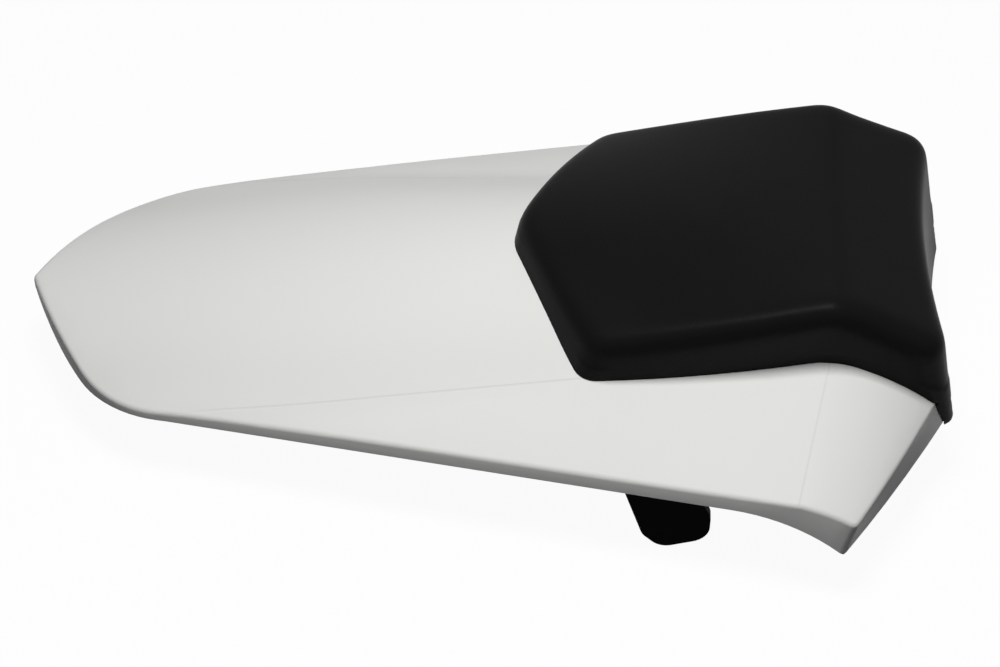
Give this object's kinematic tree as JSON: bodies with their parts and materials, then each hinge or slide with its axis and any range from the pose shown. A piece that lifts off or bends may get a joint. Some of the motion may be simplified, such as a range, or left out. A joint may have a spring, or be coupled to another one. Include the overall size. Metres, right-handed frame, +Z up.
{
  "type": "seat cowl",
  "caption": "Motorbike seat cowl: a moulded shell with an arrow tail and flat wings, a soft back pad, a hook bracket, a striker loop and rubber buffers underneath.",
  "frame": {"origin": "middle of the striker bar that the seat lock grips", "axes": "+X to the front of the bike, +Y to its left, +Z up, as the cowl sits on the bike"},
  "size_m": [0.4049, 0.2484, 0.1143],
  "materials": {
    "shell_paint": "gloss white paint on moulded plastic",
    "pad_skin": "satin black moulded foam skin",
    "bracket_coat": "black powder coat",
    "zinc_steel": "zinc plated",
    "insert_brass": "plain brass",
    "buffer_rubber": "matt black rubber"
  },
  "bodies": {
    "root": {"cowl_shell": "shell_paint", "seat_pad": "pad_skin", "hook_bracket": "bracket_coat", "striker_plate": "zinc_steel", "striker_loop": "zinc_steel", "fixing_screws": "zinc_steel", "fixing_washers": "zinc_steel", "thread_inserts": "insert_brass", "pad_studs": "zinc_steel", "pad_washers": "zinc_steel", "pad_nuts": "zinc_steel", "rear_left_buffer": "buffer_rubber", "rear_right_buffer": "buffer_rubber", "front_left_buffer": "buffer_rubber", "front_right_buffer": "buffer_rubber"}
  },
  "joints": []
}
